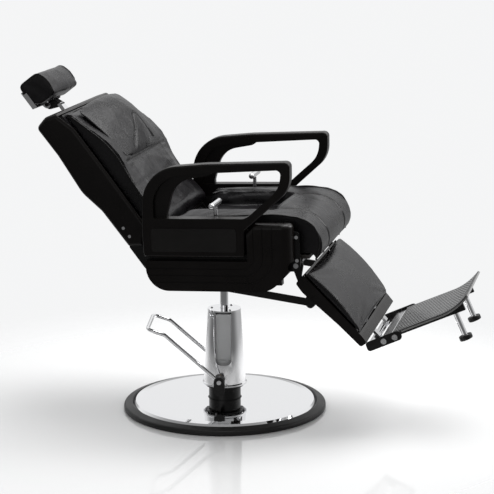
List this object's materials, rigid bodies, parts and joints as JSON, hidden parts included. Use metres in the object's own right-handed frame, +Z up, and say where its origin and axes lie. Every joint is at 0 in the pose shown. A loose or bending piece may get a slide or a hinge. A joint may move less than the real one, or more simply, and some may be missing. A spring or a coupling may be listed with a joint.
{
  "type": "hydraulic barber chair",
  "caption": "Reclining barber chair on a round chromed hydraulic base, with loop armrests, headrest, calf pad and folding footrest.",
  "frame": {"origin": "on the floor, on the axis of the pump column", "axes": "+X the way the sitter faces, +Y the sitter's left, +Z up"},
  "size_m": [1.4538, 0.66, 1.0933],
  "materials": {
    "black_leather": "soft grained upholstery, satin",
    "black_plastic": "moulded, fine texture",
    "panel_plastic": "moulded, satin",
    "chrome": "polished",
    "polished_steel": "polished plate",
    "bright_screw": "polished",
    "black_steel": "satin powder coat",
    "raw_steel": "machined",
    "pump_grey": "smooth paint",
    "cast_black": "painted casting",
    "bronze": "machined",
    "black_rubber": "matt",
    "mat_rubber": "ribbed, matt",
    "tread_metal": "satin with bright rim",
    "plywood": "stained black"
  },
  "bodies": {
    "base": {"base_disc": "chrome", "trim_ring": "black_rubber", "ballast_plate": "black_steel", "floor_pads": "black_rubber", "pump_base": "cast_black", "pump_housing": "pump_grey", "axle_bushes": "bronze", "pump_shroud": "chrome", "shroud_cap": "chrome", "gland_seal": "black_rubber"},
    "pedal": {"pedal_loop": "chrome", "pedal_hubs": "cast_black", "pedal_axle": "raw_steel"},
    "plunger": {"pump_plunger": "raw_steel"},
    "piston": {"piston_rod": "chrome", "piston_seal": "black_rubber", "swivel_collar": "raw_steel"},
    "seat": {"swivel_plate": "black_steel", "seat_frame": "black_steel", "gas_rod": "raw_steel", "side_plates": "black_steel", "seat_board": "plywood", "legrest_axle": "raw_steel", "seat_cushion": "black_leather", "side_cover_left": "black_plastic", "side_cover_right": "black_plastic", "armrest_left": "black_plastic", "armrest_right": "black_plastic", "armrest_panels": "panel_plastic", "cover_screws": "bright_screw"},
    "levers": {"lever_frame": "chrome", "lever_handles": "chrome"},
    "backrest": {"back_shell": "black_plastic", "back_board": "black_leather", "back_cushion": "black_leather", "back_pillow": "black_leather", "recline_shaft": "raw_steel", "crank_plates": "black_steel", "bracket_screws": "bright_screw", "post_guide": "black_steel"},
    "link": {"link_bars": "black_steel", "link_pins": "bright_screw"},
    "gas_tube": {"gas_tube": "black_steel"},
    "headrest_post": {"headrest_post": "chrome", "headrest_knuckle": "cast_black"},
    "headrest": {"headrest_bracket": "chrome", "headrest_pad": "black_leather", "headrest_screws": "bright_screw"},
    "legrest": {"legrest_shell": "black_plastic", "legrest_pad": "black_leather", "legrest_arms": "black_steel", "slide_guides": "black_steel"},
    "foot_slider": {"slide_bars": "chrome", "foot_brackets": "black_steel", "bracket_bolts": "bright_screw"},
    "footplate": {"hinge_plate": "polished_steel", "tread_plate": "tread_metal", "tread_mat": "mat_rubber", "foot_rails": "black_steel", "foot_bumpers": "black_rubber"}
  },
  "joints": [
    {"name": "lift", "type": "slide", "parent": "base", "child": "piston", "axis": [0, 0, 1], "range_m": [-0.08, 0.06]},
    {"name": "swivel", "type": "hinge", "parent": "piston", "child": "seat", "pos_m": [0, 0, 0.43], "axis": [0, 0, 1], "continuous": true},
    {"name": "pedal_stroke", "type": "hinge", "parent": "base", "child": "pedal", "pos_m": [-0.01182, -0.00208, 0.108], "axis": [0.1736, -0.9848, 0], "range_deg": [0, 22], "stiffness_Nm_per_rad": 8, "springref_deg": -34.38},
    {"name": "plunger_stroke", "type": "slide", "parent": "base", "child": "plunger", "axis": [0, 0, 1], "range_m": [0, 0.019]},
    {"name": "recline", "type": "hinge", "parent": "seat", "child": "backrest", "pos_m": [-0.14, 0, 0.6], "axis": [0, -1, 0], "range_deg": [-26, 20]},
    {"name": "legrest_swing", "type": "hinge", "parent": "seat", "child": "legrest", "pos_m": [0.295, 0, 0.545], "axis": [0, -1, 0], "range_deg": [-26, 20]},
    {"name": "link_pivot", "type": "hinge", "parent": "backrest", "child": "link", "pos_m": [-0.1, 0, 0.478], "axis": [0, -1, 0], "range_deg": [-20, 26]},
    {"name": "gas_spring_stroke", "type": "slide", "parent": "seat", "child": "gas_tube", "axis": [1, 0, 0], "range_m": [-0.0445, 0.0345]},
    {"name": "lever_pull", "type": "hinge", "parent": "seat", "child": "levers", "pos_m": [0.0473, 0, 0.53672], "axis": [0, -1, 0], "range_deg": [0, 15], "stiffness_Nm_per_rad": 8, "springref_deg": -28.65},
    {"name": "headrest_height", "type": "slide", "parent": "backrest", "child": "headrest_post", "axis": [-0.6088, 0, 0.7934], "range_m": [0, 0.06]},
    {"name": "headrest_tilt", "type": "hinge", "parent": "headrest_post", "child": "headrest", "pos_m": [-0.57402, 0, 0.98165], "axis": [0, -1, 0], "range_deg": [-25, 25]},
    {"name": "footrest_length", "type": "slide", "parent": "legrest", "child": "foot_slider", "axis": [0.7071, 0, -0.7071], "range_m": [0, 0.05]},
    {"name": "footplate_fold", "type": "hinge", "parent": "foot_slider", "child": "footplate", "pos_m": [0.551, 0, 0.296], "axis": [0, -1, 0], "range_deg": [0, 75]}
  ],
  "couplings": [
    {"joint": "plunger_stroke", "follows": "pedal_stroke", "m_per_rad": 0.0486},
    {"joint": "legrest_swing", "follows": "recline", "ratio": 1},
    {"joint": "link_pivot", "follows": "recline", "ratio": -1},
    {"joint": "gas_spring_stroke", "follows": "recline", "m_per_rad": 0.0975}
  ]
}
